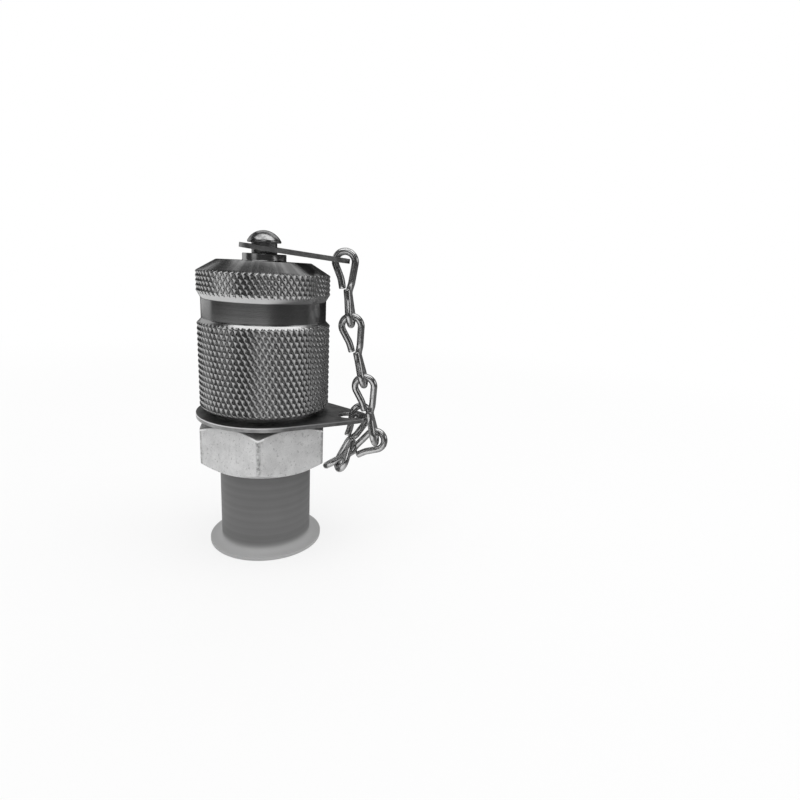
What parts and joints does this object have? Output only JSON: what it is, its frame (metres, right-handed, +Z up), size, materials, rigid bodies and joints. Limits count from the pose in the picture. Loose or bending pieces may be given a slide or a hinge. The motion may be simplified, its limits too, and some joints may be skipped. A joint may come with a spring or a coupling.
{
  "type": "hydraulic test point coupling",
  "caption": "Test point coupling with a hex body, spring-loaded check valve, knurled screw cap held by a jack chain on a ring, and a push-on thread protector.",
  "frame": {"origin": "on the turning axis, at the face of the protector's flange that the part stands on", "axes": "+Z up along the axis, from the port to the cap; the chain hangs 18 degrees from +X towards -Y"},
  "size_m": [0.0304, 0.0218, 0.0511],
  "materials": {
    "body_steel": "zinc plated, satin",
    "cap_steel": "zinc plated, turned and knurled",
    "rivet_steel": "bright plated",
    "sheet_steel": "stamped, plated",
    "chain_wire": "drawn wire, bright plated",
    "valve_steel": "turned",
    "spring_steel": "spring wire",
    "seal_rubber": "moulded",
    "protector_plastic": "moulded, slightly see-through"
  },
  "bodies": {
    "body": {"coupling_body": "body_steel", "port_seal": "seal_rubber", "valve_seat": "valve_steel", "probe_seal": "seal_rubber", "spring_retainer": "valve_steel", "retaining_clip": "spring_steel", "valve_spring": "spring_steel"},
    "poppet": {"valve_poppet": "valve_steel", "poppet_seal": "seal_rubber"},
    "protector": {"thread_protector": "protector_plastic"},
    "ring": {"chain_ring": "sheet_steel"},
    "seal": {"cap_seal": "seal_rubber"},
    "cap": {"cap_shell": "cap_steel", "cap_rivet": "rivet_steel"},
    "strap": {"cap_strap": "sheet_steel"},
    "link_1": {"chain_link_1": "chain_wire"},
    "link_2": {"chain_link_2": "chain_wire"},
    "link_3": {"chain_link_3": "chain_wire"},
    "link_4": {"chain_link_4": "chain_wire"},
    "link_5": {"chain_link_5": "chain_wire"}
  },
  "joints": [
    {"name": "cap_lift", "type": "slide", "parent": "body", "child": "seal", "axis": [0, 0, 1], "range_m": [0, 0.004]},
    {"name": "cap_turn", "type": "hinge", "parent": "seal", "child": "cap", "pos_m": [0, 0, 0.03], "axis": [0, 0, 1], "range_deg": [0, 720.5]},
    {"name": "ring_swivel", "type": "hinge", "parent": "body", "child": "ring", "pos_m": [0, 0, 0.02235], "axis": [0, 0, 1], "continuous": true},
    {"name": "strap_swivel", "type": "hinge", "parent": "seal", "child": "strap", "pos_m": [0, 0, 0.04845], "axis": [0, 0, 1], "continuous": true},
    {"name": "link_1_swing", "type": "hinge", "parent": "strap", "child": "link_1", "pos_m": [0.01202, -0.00391, 0.04721], "axis": [-0.309, -0.9511, 0], "range_deg": [0, 9.97]},
    {"name": "link_2_swing", "type": "hinge", "parent": "link_1", "child": "link_2", "pos_m": [0.01319, -0.00428, 0.03749], "axis": [-0.309, -0.9511, 0], "range_deg": [-6.04, 0]},
    {"name": "link_3_swing", "type": "hinge", "parent": "link_2", "child": "link_3", "pos_m": [0.01549, -0.00503, 0.02791], "axis": [-0.309, -0.9511, 0], "range_deg": [-4.22, 0]},
    {"name": "link_5_swing", "type": "hinge", "parent": "ring", "child": "link_5", "pos_m": [0.01531, -0.00365, 0.02235], "axis": [-0.309, -0.9511, 0], "range_deg": [0, 58.27]},
    {"name": "link_4_swing", "type": "hinge", "parent": "link_5", "child": "link_4", "pos_m": [0.01167, -0.0051, 0.01368], "axis": [-0.309, -0.9511, 0], "range_deg": [-1.45, 0]},
    {"name": "poppet_push", "type": "slide", "parent": "body", "child": "poppet", "axis": [0, 0, -1], "range_m": [0, 0.0022], "stiffness_N_per_m": 600, "springref_m": -0.003, "deforming": ["valve_spring"]},
    {"name": "protector_pull", "type": "slide", "parent": "body", "child": "protector", "axis": [0, 0, -1], "range_m": [0, 0.0145]}
  ],
  "couplings": [
    {"joint": "cap_turn", "follows": "cap_lift", "rad_per_m": 3141.6},
    {"joint": "link_1_swing", "follows": "cap_lift", "rad_per_m": 43.272},
    {"joint": "link_2_swing", "follows": "cap_lift", "rad_per_m": -26.157},
    {"joint": "link_3_swing", "follows": "cap_lift", "rad_per_m": -18.174},
    {"joint": "link_5_swing", "follows": "cap_lift", "rad_per_m": 254.02},
    {"joint": "link_4_swing", "follows": "cap_lift", "rad_per_m": -6.093},
    {"joint": "strap_swivel", "follows": "ring_swivel", "ratio": 1}
  ]
}
